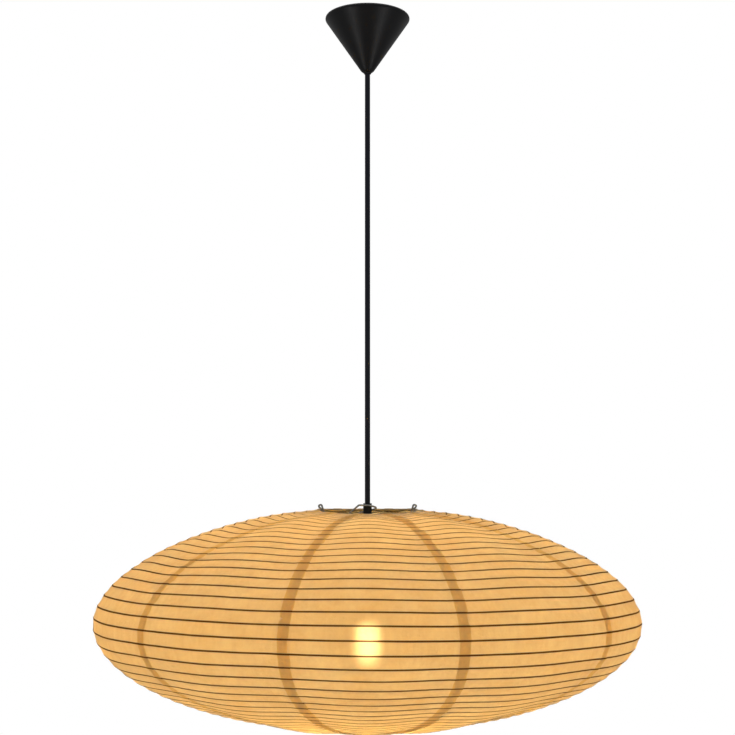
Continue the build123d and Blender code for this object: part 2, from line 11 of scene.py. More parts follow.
import bpy
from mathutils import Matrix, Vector


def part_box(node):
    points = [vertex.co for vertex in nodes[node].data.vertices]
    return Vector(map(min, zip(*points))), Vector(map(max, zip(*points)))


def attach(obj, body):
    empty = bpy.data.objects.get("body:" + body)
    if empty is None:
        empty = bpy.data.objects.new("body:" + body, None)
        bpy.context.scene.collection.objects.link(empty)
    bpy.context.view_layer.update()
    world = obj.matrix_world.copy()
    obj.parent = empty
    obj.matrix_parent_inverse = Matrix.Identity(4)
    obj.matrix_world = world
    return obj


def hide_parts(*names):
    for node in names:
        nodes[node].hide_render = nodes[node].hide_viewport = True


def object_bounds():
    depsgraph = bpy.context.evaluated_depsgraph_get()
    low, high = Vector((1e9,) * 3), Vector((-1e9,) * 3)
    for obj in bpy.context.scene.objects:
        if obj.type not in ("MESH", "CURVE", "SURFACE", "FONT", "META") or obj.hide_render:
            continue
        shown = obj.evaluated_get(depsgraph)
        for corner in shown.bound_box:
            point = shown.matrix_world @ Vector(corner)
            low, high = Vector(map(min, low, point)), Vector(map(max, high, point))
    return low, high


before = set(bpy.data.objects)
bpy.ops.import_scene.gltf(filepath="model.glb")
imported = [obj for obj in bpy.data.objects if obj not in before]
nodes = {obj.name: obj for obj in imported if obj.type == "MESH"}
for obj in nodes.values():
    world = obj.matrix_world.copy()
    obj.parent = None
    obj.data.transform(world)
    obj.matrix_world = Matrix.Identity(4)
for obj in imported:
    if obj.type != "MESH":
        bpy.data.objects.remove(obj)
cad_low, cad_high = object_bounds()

# %% [markdown]
# ## Sizes
# Places come from the boxes of the CAD nodes. The globe's outline is a closed curve that is squarer than
# an ellipse below and rounder above, so its four exponents are named here with its width and heights.
# A slant is a distance along that outline from the top ring, and a turn is an angle about the cord.

# %% Sizes of the globe
TURN = 2 * math.pi
ring_low, ring_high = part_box("top_ring")
foot_low, foot_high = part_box("bottom_ring")
TOP_RING_Z = (ring_low.z + ring_high.z) / 2
BOTTOM_RING_Z = (foot_low.z + foot_high.z) / 2
RING_WIRE_R = (ring_high.z - ring_low.z) / 2
OPENING_R = ring_high.x - RING_WIRE_R
GLOBE_R = 0.300
TOP_HEIGHT = 0.1218
EQUATOR_Z = TOP_RING_Z - TOP_HEIGHT
BOTTOM_DEPTH = EQUATOR_Z - BOTTOM_RING_Z
TOP_POWERS = (1.89, 1.91)
BOTTOM_POWERS = (2.09, 1.62)
RIB_PITCH = 0.0135
RIB_R = 0.00065
GORE_NAMES = sorted(name for name in nodes if name.startswith("paper_gore"))
GORE_COUNT = len(GORE_NAMES)
FIRST_SEAM = math.radians(-106.0)
LAP_WIDTH = 0.0092
print("rings at", round(TOP_RING_Z, 4), round(BOTTOM_RING_Z, 4), "gores", GORE_COUNT)

# %% [markdown]
# ## Camera
# The lantern is seen from the level of its top ring, looking slightly up so that the cord and the canopy
# fit in. A long lens keeps the globe's outline calm. Tilting the camera, rather than shifting the lens,
# leaves it usable from every other side.

# %% Camera
CAMERA_DISTANCE = 1.600
CAMERA_RISE = 0.1208
CAMERA_TILT = math.radians(5.745)
LENS = 69.59
camera_data = bpy.data.cameras.new("lantern_camera")
camera_data.sensor_width = 36.0
camera_data.lens = LENS
camera = bpy.data.objects.new("lantern_camera", camera_data)
camera.location = (0, -CAMERA_DISTANCE, EQUATOR_Z + CAMERA_RISE)
camera.rotation_euler = (math.pi / 2 + CAMERA_TILT, 0, 0)
bpy.context.scene.collection.objects.link(camera)
bpy.context.scene.camera = camera
print("camera at", tuple(round(value, 3) for value in camera.location))

# %% [markdown]
# ## Helpers for materials
# Every finish here is a Principled shader whose colour, roughness and relief come from noise read in
# object coordinates, so that no two places on a piece are quite alike. Values that are the same all over
# the surface are set on the shader's own sockets.


# %% Material helpers
def shader_node(tree, kind, **settings):
    """Add one shader node and set its plain properties."""
    node = tree.nodes.new(kind)
    for name, value in settings.items():
        setattr(node, name, value)
    return node


def noise(tree, scale, detail=3.0, stretch=(1, 1, 1), roughness=0.55):
    """A noise pattern in object coordinates; its size is 1/scale metres."""
    coordinates = shader_node(tree, "ShaderNodeTexCoord")
    mapping = shader_node(tree, "ShaderNodeMapping")
    mapping.inputs["Scale"].default_value = stretch
    pattern = shader_node(tree, "ShaderNodeTexNoise")
    pattern.inputs["Scale"].default_value = scale
    pattern.inputs["Detail"].default_value = detail
    pattern.inputs["Roughness"].default_value = roughness
    tree.links.new(coordinates.outputs["Object"], mapping.inputs["Vector"])
    tree.links.new(mapping.outputs["Vector"], pattern.inputs["Vector"])
    return pattern.outputs["Fac"]


def ramp(tree, factor, low, high, start=0.3, end=0.7):
    """Turn a 0 to 1 pattern into a colour between two colours."""
    colours = shader_node(tree, "ShaderNodeValToRGB")
    colours.color_ramp.elements[0].position = start
    colours.color_ramp.elements[1].position = end
    colours.color_ramp.elements[0].color = (*low, 1)
    colours.color_ramp.elements[1].color = (*high, 1)
    tree.links.new(factor, colours.inputs["Fac"])
    return colours.outputs["Color"]


def spread(tree, factor, low, high):
    """Turn a 0 to 1 pattern into a number between two numbers."""
    span = shader_node(tree, "ShaderNodeMapRange")
    span.inputs["From Min"].default_value = 0.3
    span.inputs["From Max"].default_value = 0.7
    span.inputs["To Min"].default_value = low
    span.inputs["To Max"].default_value = high
    tree.links.new(factor, span.inputs["Value"])
    return span.outputs["Result"]


def relief(tree, height, strength, distance):
    """A bump normal from a height pattern; distance is the relief in metres."""
    bump = shader_node(tree, "ShaderNodeBump")
    bump.inputs["Strength"].default_value = strength
    bump.inputs["Distance"].default_value = distance
    tree.links.new(height, bump.inputs["Height"])
    return bump.outputs["Normal"]


def finish(name, dark, light, grain, rough, depth=0.00005, stretch=(1, 1, 1), **sockets):
    """A Principled finish: two colours over a cloudy grain, a roughness range and a fine relief."""
    material = bpy.data.materials.new(name)
    material.use_nodes = True
    tree = material.node_tree
    surface = tree.nodes["Principled BSDF"]
    clouds = noise(tree, grain, stretch=stretch)
    specks = noise(tree, grain * 6, detail=2.0, stretch=stretch)
    tree.links.new(ramp(tree, clouds, dark, light), surface.inputs["Base Color"])
    tree.links.new(spread(tree, specks, *rough), surface.inputs["Roughness"])
    tree.links.new(relief(tree, specks, 0.5, depth), surface.inputs["Normal"])
    for socket, value in sockets.items():
        surface.inputs[socket.replace("_", " ")].default_value = value
    return material


def dress(material, *names):
    """Give CAD nodes one finish."""
    for name in names:
        nodes[name].data.materials.clear()
        nodes[name].data.materials.append(material)
    print(material.name, "on", ", ".join(names))


# %% [markdown]
# ## Paper
# The globe is thin mulberry paper. Light from the lamp passes through it in two ways: most is scattered
# evenly, which is what a Translucent shader does, and a little keeps its direction, which makes the
# bright patch in front of the lamp. That second share is a rough Refraction shader with an index near 1,
# which hardly bends the light. What falls on the outside is reflected by a plain, matt surface. Long
# fibres and small clouds of pulp change the colour, and a fine crinkle changes the normal.
# The dark line at each turn of cane is partly the cane's own shadow and partly a painted shadow, and the
# darker band of each lap is partly the double layer and partly painted shade. Two marks on the gores, one
# on the rows the cane holds and one on the lap, place the painted shade. Like the shares, the tints are fitted.


# %% Paper finish
# Painted shade: a shadow line at the cane and a darker band at each lap, multiplied into the paper's colour.
CANE_SHADOW_TINT = (0.19, 0.11, 0.03)
LAP_SHADE_TINT = (0.95, 0.90, 0.64)
CANE_SHADOW_START = 0.38
CANE_SHADOW_END = 0.62
PASSING_SHARE = 0.02
PASSING_IOR = 1.05
PASSING_ROUGHNESS = 0.7
LIT_SHARE = 0.56
CRINKLE_STRENGTH = 0.9
CRINKLE_DEPTH = 0.0011


def paper_finish():
    """Translucent mulberry paper."""
    material = bpy.data.materials.new("mulberry_paper")
    material.use_nodes = True
    tree = material.node_tree
    reflecting = tree.nodes["Principled BSDF"]
    output = tree.nodes["Material Output"]
    pulp = noise(tree, 26, detail=6.0, roughness=0.7)
    fibres = noise(tree, 210, detail=2.0, stretch=(1.0, 1.0, 0.22))
    crinkle = noise(tree, 330, detail=4.0, roughness=0.65)
    mix = shader_node(tree, "ShaderNodeMix", data_type="RGBA", blend_type="MULTIPLY")
    mix.inputs["Factor"].default_value = 1.0
    tree.links.new(ramp(tree, pulp, (0.90, 0.68, 0.23), (1.0, 0.84, 0.38)), mix.inputs["A"])
    tree.links.new(ramp(tree, fibres, (0.93, 0.90, 0.86), (1.0, 1.0, 1.0)), mix.inputs["B"])
    # Painted shadow of the cane, multiplied into the colour of the light that passes through.
    cane_shadow_mask = shader_node(tree, "ShaderNodeAttribute", attribute_name="cane_shadow").outputs["Fac"]
    line = ramp(tree, cane_shadow_mask, (1.0, 1.0, 1.0), CANE_SHADOW_TINT, start=CANE_SHADOW_START, end=CANE_SHADOW_END)
    # Painted shade on the lap's double layer, added to the light that the second layer really holds back.
    double = shader_node(tree, "ShaderNodeAttribute", attribute_name="lapped").outputs["Fac"]
    band = ramp(tree, double, (1.0, 1.0, 1.0), LAP_SHADE_TINT)
    marks = shader_node(tree, "ShaderNodeMix", data_type="RGBA", blend_type="MULTIPLY")
    marks.inputs["Factor"].default_value = 1.0
    tree.links.new(line, marks.inputs["A"])
    tree.links.new(band, marks.inputs["B"])
    line = marks.outputs["Result"]
    painted_shade_colour = shader_node(tree, "ShaderNodeMix", data_type="RGBA", blend_type="MULTIPLY")
    painted_shade_colour.inputs["Factor"].default_value = 1.0
    tree.links.new(mix.outputs["Result"], painted_shade_colour.inputs["A"])
    tree.links.new(line, painted_shade_colour.inputs["B"])
    colour = painted_shade_colour.outputs["Result"]
    normal = relief(tree, crinkle, CRINKLE_STRENGTH, CRINKLE_DEPTH)
    reflecting.inputs["Roughness"].default_value = 0.6
    reflecting.inputs["Specular IOR Level"].default_value = 0.2
    tree.links.new(normal, reflecting.inputs["Normal"])
    # The reflected colour carries the same painted shadow and painted shade.
    outside = shader_node(tree, "ShaderNodeMix", data_type="RGBA", blend_type="MULTIPLY")
    outside.inputs["Factor"].default_value = 1.0
    tree.links.new(ramp(tree, pulp, (0.86, 0.70, 0.46), (0.93, 0.80, 0.58)), outside.inputs["A"])
    tree.links.new(line, outside.inputs["B"])
    tree.links.new(outside.outputs["Result"], reflecting.inputs["Base Color"])
    scattering = shader_node(tree, "ShaderNodeBsdfTranslucent")
    tree.links.new(colour, scattering.inputs["Color"])
    tree.links.new(normal, scattering.inputs["Normal"])
    passing = shader_node(tree, "ShaderNodeBsdfRefraction")
    passing.inputs["IOR"].default_value = PASSING_IOR
    passing.inputs["Roughness"].default_value = PASSING_ROUGHNESS
    passing.inputs["Color"].default_value = (1.0, 0.95, 0.85, 1)
    through = shader_node(tree, "ShaderNodeMixShader")
    through.inputs["Fac"].default_value = PASSING_SHARE
    tree.links.new(scattering.outputs[0], through.inputs[1])
    tree.links.new(passing.outputs[0], through.inputs[2])
    whole = shader_node(tree, "ShaderNodeMixShader")
    whole.inputs["Fac"].default_value = LIT_SHARE
    tree.links.new(reflecting.outputs[0], whole.inputs[1])
    tree.links.new(through.outputs[0], whole.inputs[2])
    tree.links.new(whole.outputs[0], output.inputs["Surface"])
    return material


paper = paper_finish()
print("finish made:", paper.name)

# %% [markdown]
# ## Helpers for Geometry Nodes
# The globe follows a rule, so it is grown by node trees: a sum is a Math node, and each size is a named
# input. A tree runs once on an empty object, its result becomes a plain mesh, and the tree's object goes.


# %% Geometry Nodes helpers
def new_tree(name, sizes, has_finish=True):
    """A geometry tree with one named number input for each size and a geometry output."""
    tree = bpy.data.node_groups.new(name, "GeometryNodeTree")
    for size, value in sizes.items():
        socket = tree.interface.new_socket(name=size, in_out="INPUT", socket_type="NodeSocketFloat")
        socket.default_value = value
    if has_finish:
        tree.interface.new_socket(name="Finish", in_out="INPUT", socket_type="NodeSocketMaterial")
        tree.interface.new_socket(name="Geometry", in_out="OUTPUT", socket_type="NodeSocketGeometry")
    return tree, tree.nodes.new("NodeGroupInput").outputs


def plug(tree, socket, value):
    """Link a socket to an output, or set it to a plain value."""
    if isinstance(value, bpy.types.NodeSocket):
        tree.links.new(value, socket)
    else:
        socket.default_value = value


def add(tree, kind, inputs=None, **settings):
    """Add a node, set its properties, and fill its named inputs."""
    node = tree.nodes.new(kind)
    for name, value in settings.items():
        setattr(node, name, value)
    for name, value in (inputs or {}).items():
        plug(tree, node.inputs[name], value)
    return node


def calc(tree, operation, first, second=0.0, third=None):
    """One sum; operation is a Math node's, such as MULTIPLY."""
    node = tree.nodes.new("ShaderNodeMath")
    node.operation = operation
    plug(tree, node.inputs[0], first)
    plug(tree, node.inputs[1], second)
    if third is not None:
        plug(tree, node.inputs[2], third)
    return node.outputs[0]


def vector(tree, x, y, z):
    """Join three numbers into a point."""
    return add(tree, "ShaderNodeCombineXYZ", {"X": x, "Y": y, "Z": z}).outputs[0]


def unit_range(tree, value):
    """Hold a number between 0 and 1."""
    return add(tree, "ShaderNodeClamp", {"Value": value, "Min": 0.0, "Max": 1.0}).outputs[0]


def grow(tree, name, sizes, material):
    """Run a tree once and keep its result as a plain mesh object."""
    source = bpy.data.objects.new(name + "_source", bpy.data.meshes.new(name + "_source"))
    bpy.context.scene.collection.objects.link(source)
    modifier = source.modifiers.new("nodes", "NODES")
    modifier.node_group = tree
    for item in tree.interface.items_tree:
        if item.in_out == "INPUT" and item.name in sizes:
            modifier[item.identifier] = sizes[item.name]
        if item.in_out == "INPUT" and item.name == "Finish":
            modifier[item.identifier] = material
    depsgraph = bpy.context.evaluated_depsgraph_get()
    mesh = bpy.data.meshes.new_from_object(source.evaluated_get(depsgraph))
    mesh.name = name
    piece = bpy.data.objects.new(name, mesh)
    bpy.context.scene.collection.objects.link(piece)
    bpy.data.objects.remove(source)
    return piece


# %% [markdown]
# ## The globe's surface as one node group
# Paper, cane and hems must agree about where the surface is, so one group answers the question: given a
# turn about the cord, a slant down the outline and a lift off the surface, where is the point? It samples
# an outline curve by length. Then it adds what makes the globe hand-made: the outline swells between two
# seams and is pulled in at them, the spiral wanders a little, and the top opening dips at the front.
# These amounts are fitted to one front view. The dip belongs to the lantern, so when the lantern turns,
# the dip turns with it and meets the stretcher's hook; at 0.6 mm or less it stays clear.

# %% Surface group
OUTLINE_POINTS = 481
SWELL = 0.0156
SWELL_FADE = 0.06
WANDER = 0.0011
WANDER_SCALE = 2.6
WANDER_STRETCH = 3.4
WANDER_START_RATE = 25.0
FRONT_DIP = 0.0056
DIP_POWER = 0.6
DIP_FADE_RATE = -14.0


def powers_for(tree, upper, pair):
    """Pick the exponent for the upper or the lower half."""
    low, high = pair
    return calc(tree, "MULTIPLY_ADD", upper, high - low, low)


def outline_end(powers, sign):
    """The outline's parameter where it meets a ring."""
    return sign * (math.pi / 2 - math.asin((OPENING_R / GLOBE_R) ** (powers[1] / 2)))


def half_height(rise, powers):
    """Height of the closed outline, which the opening cuts off at rise."""
    return rise / (1 - (OPENING_R / GLOBE_R) ** powers[1]) ** (1 / powers[0])


def surface_group():
    """Node group: turn, slant and lift to a point on the globe."""
    tree, given = new_tree("globe_surface", {"Turn": 0, "Slant": 0, "Lift": 0}, has_finish=False)
    tree.interface.new_socket(name="Position", in_out="OUTPUT", socket_type="NodeSocketVector")
    tree.interface.new_socket(name="Radius", in_out="OUTPUT", socket_type="NodeSocketFloat")
    start = outline_end(TOP_POWERS, 1)
    end = outline_end(BOTTOM_POWERS, -1)
    line = add(tree, "GeometryNodeMeshLine", {"Count": OUTLINE_POINTS})
    index = tree.nodes.new("GeometryNodeInputIndex").outputs[0]
    angle = calc(tree, "MULTIPLY_ADD", index, (end - start) / (OUTLINE_POINTS - 1), start)
    upper = calc(tree, "GREATER_THAN", angle, 0.0)
    z_power = powers_for(tree, upper, (2 / BOTTOM_POWERS[0], 2 / TOP_POWERS[0]))
    r_power = powers_for(tree, upper, (2 / BOTTOM_POWERS[1], 2 / TOP_POWERS[1]))
    depths = (-half_height(BOTTOM_DEPTH, BOTTOM_POWERS), half_height(TOP_HEIGHT, TOP_POWERS))
    height = powers_for(tree, upper, depths)
    sine = calc(tree, "ABSOLUTE", calc(tree, "SINE", angle))
    z = calc(tree, "MULTIPLY", calc(tree, "POWER", sine, z_power), height)
    r = calc(tree, "MULTIPLY", calc(tree, "POWER", calc(tree, "COSINE", angle), r_power), GLOBE_R)
    placed = add(tree, "GeometryNodeSetPosition", {"Geometry": line.outputs[0], "Position": vector(tree, r, 0.0, z)})
    outline = add(tree, "GeometryNodeMeshToCurve", {"Mesh": placed.outputs[0]})
    sample = add(tree, "GeometryNodeSampleCurve", {"Curves": outline.outputs[0]}, mode="LENGTH")
    turn, slant, lift = given["Turn"], given["Slant"], given["Lift"]
    around = vector(tree, calc(tree, "COSINE", turn), calc(tree, "SINE", turn), calc(tree, "MULTIPLY", slant, WANDER_STRETCH))
    drift = add(tree, "ShaderNodeTexNoise", {"Vector": around, "Scale": WANDER_SCALE, "Detail": 2.5})
    wander = calc(tree, "MULTIPLY", calc(tree, "SUBTRACT", drift.outputs["Fac"], 0.5), 2 * WANDER)
    inside = unit_range(tree, calc(tree, "MULTIPLY", slant, WANDER_START_RATE))
    plug(tree, sample.inputs["Length"], calc(tree, "MULTIPLY_ADD", wander, inside, slant))
    point = add(tree, "ShaderNodeSeparateXYZ", {"Vector": sample.outputs["Position"]}).outputs
    along = add(tree, "ShaderNodeSeparateXYZ", {"Vector": sample.outputs["Tangent"]}).outputs
    radius = calc(tree, "MULTIPLY_ADD", calc(tree, "MULTIPLY", along["Z"], -1.0), lift, point["X"])
    rise = calc(tree, "MULTIPLY_ADD", along["X"], lift, point["Z"])
    seam_turn = calc(tree, "MULTIPLY", calc(tree, "SUBTRACT", turn, FIRST_SEAM), float(GORE_COUNT))
    to_ring = calc(tree, "MINIMUM", slant, calc(tree, "SUBTRACT", SLANT_LENGTH, slant))
    free = unit_range(tree, calc(tree, "MULTIPLY", to_ring, 1 / SWELL_FADE))
    free = calc(tree, "SMOOTH_MIN", free, 1.0, 0.4)
    swell = calc(tree, "MULTIPLY", calc(tree, "COSINE", seam_turn), -SWELL)
    swell = calc(tree, "MULTIPLY", swell, free)
    swelled = calc(tree, "MULTIPLY", rise, calc(tree, "ADD", swell, 1.0))
    front = unit_range(tree, calc(tree, "MULTIPLY", calc(tree, "SINE", turn), -1.0))
    near_top = unit_range(tree, calc(tree, "MULTIPLY_ADD", slant, DIP_FADE_RATE, 1.0))
    front = calc(tree, "POWER", front, DIP_POWER)
    dip = calc(tree, "MULTIPLY", calc(tree, "MULTIPLY", front, near_top), -FRONT_DIP)
    settled = calc(tree, "ADD", calc(tree, "ADD", swelled, dip), EQUATOR_Z)
    x = calc(tree, "MULTIPLY", radius, calc(tree, "COSINE", turn))
    y = calc(tree, "MULTIPLY", radius, calc(tree, "SINE", turn))
    result = tree.nodes.new("NodeGroupOutput").inputs
    tree.links.new(vector(tree, x, y, settled), result["Position"])
    tree.links.new(radius, result["Radius"])
    return tree


def slant_length():
    """Length of the outline from ring to ring."""
    start, end = outline_end(TOP_POWERS, 1), outline_end(BOTTOM_POWERS, -1)
    total, last = 0.0, None
    for step in range(OUTLINE_POINTS):
        angle = start + (end - start) * step / (OUTLINE_POINTS - 1)
        powers = TOP_POWERS if angle > 0 else BOTTOM_POWERS
        rise = TOP_HEIGHT if angle > 0 else -BOTTOM_DEPTH
        z = half_height(rise, powers) * abs(math.sin(angle)) ** (2 / powers[0])
        point = Vector((GLOBE_R * math.cos(angle) ** (2 / powers[1]), z))
        total += (point - last).length if last else 0.0
        last = point
    return total


SLANT_LENGTH = slant_length()
globe_surface = surface_group()
print("slant from ring to ring", round(SLANT_LENGTH, 4), "m,", round(SLANT_LENGTH / RIB_PITCH, 1), "turns of cane")


def on_globe(tree, turn, slant, lift):
    """Ask the surface group for a point."""
    node = tree.nodes.new("GeometryNodeGroup")
    node.node_tree = globe_surface
    for name, value in (("Turn", turn), ("Slant", slant), ("Lift", lift)):
        plug(tree, node.inputs[name], value)
    return node


# %% [markdown]
# ## Gores
# Each gore is a long strip of paper from ring to ring, glued over the edge of the next one. Its grid runs
# with the spiral, so a row of faces ends exactly on the cane: between two turns the paper sinks a little
# and crinkles, and on the cane it is held. The last columns are the lap, of constant width, which lies one
# paper thickness above its neighbour. Two layers let less light through, and the lap's mark paints more
# shade on them. The other mark paints the cane's shadow on the held rows and fades near the rings, where
# the lines are faint. The seams' drifts from even spacing are set one by one, in degrees, to follow one
# front view.

# %% Gore tree
PANEL_COLUMNS = 26
LAP_COLUMNS = 3
ROWS_PER_TURN = 8
PAPER_SINK = 0.00085
CRINKLE = 0.0024
LAP_LIFT = 0.00035
LAP_RAGGED = 0.0030
HEM_LIFT = 0.0010
HEM_FADE_RATE = -110.0
LINE_AT_RING = 0.44
LINE_RATE = 9.0
SEAM_DRIFT = (0.0, -0.4, 2.0, 0.8, -0.5, 0.6, -0.9, 0.3, 0.7, -0.6, 0.4)


def gore_tree():
    """Tree for one gore, from its first seam to the edge of its lap."""
    sizes = {"First Turn": 0.0, "Gore Turn": TURN / GORE_COUNT, "Pitch": RIB_PITCH, "Sink": PAPER_SINK}
    sizes.update({"Crinkle": CRINKLE, "Lap Width": LAP_WIDTH, "Lap Lift": LAP_LIFT, "Row Shift": 0.0})
    tree, given = new_tree("paper_gore", sizes)
    columns = PANEL_COLUMNS + LAP_COLUMNS
    rows = ROWS_PER_TURN * (math.ceil(SLANT_LENGTH / RIB_PITCH) + 2)
    counts = {"Size X": columns, "Size Y": rows, "Vertices X": columns + 1, "Vertices Y": rows + 1}
    grid = add(tree, "GeometryNodeMeshGrid", counts)
    here = add(tree, "ShaderNodeSeparateXYZ", {"Vector": tree.nodes.new("GeometryNodeInputPosition").outputs[0]})
    column = calc(tree, "ADD", here.outputs["X"], columns / 2)
    row = calc(tree, "ROUND", calc(tree, "ADD", here.outputs["Y"], rows / 2))
    across = unit_range(tree, calc(tree, "DIVIDE", column, float(PANEL_COLUMNS)))
    over = calc(tree, "MAXIMUM", calc(tree, "SUBTRACT", column, float(PANEL_COLUMNS)), 0.0)
    over = calc(tree, "DIVIDE", over, float(LAP_COLUMNS))
    panel_turn = calc(tree, "MULTIPLY_ADD", across, given["Gore Turn"], given["First Turn"])
    turns_down = calc(tree, "DIVIDE", row, float(ROWS_PER_TURN))

    def slant_at(turn):
        spiral = calc(tree, "ADD", calc(tree, "DIVIDE", turn, TURN), 0.5)
        turns = calc(tree, "SUBTRACT", calc(tree, "ADD", turns_down, spiral), given["Row Shift"])
        slant = calc(tree, "MULTIPLY", turns, given["Pitch"])
        return calc(tree, "MINIMUM", calc(tree, "MAXIMUM", slant, 0.0), SLANT_LENGTH)

    edge = on_globe(tree, panel_turn, slant_at(panel_turn), 0.0)
    strip = calc(tree, "ADD", calc(tree, "FLOOR", turns_down), given["First Turn"])
    ragged = add(tree, "ShaderNodeTexWhiteNoise", {"W": strip}, noise_dimensions="1D")
    lap_width = calc(tree, "MULTIPLY_ADD", ragged.outputs["Value"], LAP_RAGGED, given["Lap Width"])
    lap_turn = calc(tree, "MULTIPLY", over, calc(tree, "DIVIDE", lap_width, edge.outputs["Radius"]))
    turn = calc(tree, "ADD", panel_turn, lap_turn)
    slant = slant_at(turn)
    held = calc(tree, "SINE", calc(tree, "MULTIPLY", calc(tree, "FRACT", turns_down), math.pi))
    sink = calc(tree, "MULTIPLY", calc(tree, "MULTIPLY", held, given["Sink"]), -1.0)
    wave_place = vector(tree, calc(tree, "MULTIPLY", turn, 15.0), calc(tree, "MULTIPLY", slant, 40.0), 0.0)
    wave = add(tree, "ShaderNodeTexNoise", {"Vector": wave_place, "Scale": 1.0, "Detail": 3.0, "Roughness": 0.6})
    wave = calc(tree, "MULTIPLY", calc(tree, "SUBTRACT", wave.outputs["Fac"], 0.5), given["Crinkle"])
    wave = calc(tree, "MULTIPLY", wave, held)
    climb = unit_range(tree, calc(tree, "SUBTRACT", column, PANEL_COLUMNS - 1.0))
    lap = calc(tree, "MULTIPLY", climb, given["Lap Lift"])
    to_ring = calc(tree, "MINIMUM", slant, calc(tree, "SUBTRACT", SLANT_LENGTH, slant))
    hem = unit_range(tree, calc(tree, "MULTIPLY_ADD", to_ring, HEM_FADE_RATE, 1.0))
    lift = calc(tree, "ADD", calc(tree, "ADD", sink, wave), calc(tree, "MULTIPLY_ADD", hem, HEM_LIFT, lap))
    point = on_globe(tree, turn, slant, lift)
    # Painted shadow of the cane: 1 on the rows the cane holds, weaker near the rings.
    cane_shadow = calc(tree, "SUBTRACT", 1.0, calc(tree, "CEIL", calc(tree, "SUBTRACT", held, 0.01)))
    faint = unit_range(tree, calc(tree, "MULTIPLY_ADD", to_ring, LINE_RATE, LINE_AT_RING))
    line_mark = calc(tree, "MULTIPLY", cane_shadow, faint)
    marks = {"Geometry": grid.outputs[0], "Name": "cane_shadow", "Value": line_mark}
    marked = add(tree, "GeometryNodeStoreNamedAttribute", marks, data_type="FLOAT", domain="POINT")
    # The lap's mark, which places its painted shade.
    doubled = calc(tree, "GREATER_THAN", column, float(PANEL_COLUMNS))
    laps = {"Geometry": marked.outputs[0], "Name": "lapped", "Value": doubled}
    lapped = add(tree, "GeometryNodeStoreNamedAttribute", laps, data_type="FLOAT", domain="FACE")
    placed = add(tree, "GeometryNodeSetPosition", {"Geometry": lapped.outputs[0], "Position": point.outputs["Position"]})
    merged = add(tree, "GeometryNodeMergeByDistance", {"Geometry": placed.outputs[0], "Distance": 0.00002})
    smooth = add(tree, "GeometryNodeSetShadeSmooth", {"Geometry": merged.outputs[0]})
    real = add(tree, "GeometryNodeRealizeInstances", {"Geometry": smooth.outputs[0]})
    dressed = add(tree, "GeometryNodeSetMaterial", {"Geometry": real.outputs[0], "Material": given["Finish"]})
    tree.links.new(dressed.outputs[0], tree.nodes.new("NodeGroupOutput").inputs["Geometry"])
    return tree


# %% Grow the gores
gore_nodes = gore_tree()
gores = []
seams = []
for number, drift in enumerate(SEAM_DRIFT):
    seams.append(FIRST_SEAM + number * TURN / GORE_COUNT + math.radians(drift))
seams.append(seams[0] + TURN)
for number, node_name in enumerate(GORE_NAMES):
    first_turn, last_turn = seams[number], seams[number + 1]
    row_shift = math.ceil(last_turn / TURN + 0.5)
    sizes = {"First Turn": first_turn, "Gore Turn": last_turn - first_turn, "Row Shift": float(row_shift)}
    gore = grow(gore_nodes, "paper_skin_" + node_name[-2:], sizes, paper)
    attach(gore, "lantern")
    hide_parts(node_name)
    gores.append(gore)
outward = sum(1 for face in gores[0].data.polygons if face.normal.xy.dot(face.center.xy) > 0)
print("gores:", len(gores), "faces each:", len(gores[0].data.polygons), "facing out:", outward)

# %% [markdown]
# ## Cane spiral
# One thin strip of split cane winds from ring to ring inside the paper. It is a line of points on the same
# surface, one paper thickness in, turned into a tube: fine enough to read as a dark thread against the
# light, and exactly where the rows of the gores are held.

# %% Cane finish and tree
cane = finish("brown_cane", (0.020, 0.010, 0.004), (0.06, 0.030, 0.012), 900, (0.45, 0.7), depth=0.00003)
CANE_POINTS_PER_TURN = 110
CANE_INSET = RIB_R + 0.00005
CANE_START = 0.0030


def cane_tree():
    """Tree for the spiral cane."""
    sizes = {"Cane Radius": RIB_R, "Inset": CANE_INSET, "Pitch": RIB_PITCH, "Start": CANE_START}
    tree, given = new_tree("cane_spiral", sizes)
    turns = (SLANT_LENGTH - 2 * CANE_START) / RIB_PITCH
    count = int(turns * CANE_POINTS_PER_TURN)
    line = add(tree, "GeometryNodeMeshLine", {"Count": count})
    index = tree.nodes.new("GeometryNodeInputIndex").outputs[0]
    slant = calc(tree, "MULTIPLY_ADD", index, (SLANT_LENGTH - 2 * CANE_START) / (count - 1), given["Start"])
    wound = calc(tree, "SUBTRACT", calc(tree, "DIVIDE", slant, given["Pitch"]), 0.5)
    turn = calc(tree, "MULTIPLY", wound, TURN)
    point = on_globe(tree, turn, slant, calc(tree, "MULTIPLY", given["Inset"], -1.0))
    placed = add(tree, "GeometryNodeSetPosition", {"Geometry": line.outputs[0], "Position": point.outputs["Position"]})
    curve = add(tree, "GeometryNodeMeshToCurve", {"Mesh": placed.outputs[0]})
    section = add(tree, "GeometryNodeCurvePrimitiveCircle", {"Resolution": 8, "Radius": given["Cane Radius"]})
    wires = {"Curve": curve.outputs[0], "Profile Curve": section.outputs[0], "Fill Caps": True}
    tube = add(tree, "GeometryNodeCurveToMesh", wires)
    real = add(tree, "GeometryNodeRealizeInstances", {"Geometry": tube.outputs[0]})
    dressed = add(tree, "GeometryNodeSetMaterial", {"Geometry": real.outputs[0], "Material": given["Finish"]})
    tree.links.new(dressed.outputs[0], tree.nodes.new("NodeGroupOutput").inputs["Geometry"])
    return tree


spiral = grow(cane_tree(), "cane_spiral", {}, cane)
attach(spiral, "lantern")
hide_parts("spiral_rib")
print("cane faces:", len(spiral.data.polygons))

# %% [markdown]
# ## Rings and hems
# A wire ring edges each opening, and the paper is folded round it as a hem. Both are tubes round the
# opening that follow the surface group, so the hem dips at the front with the paper; the hem is a little
# uneven, as folded paper is.

# %% Ring tree
RING_POINTS = 240
RING_TUBE_R = 0.0009
HEM_R = 0.00105


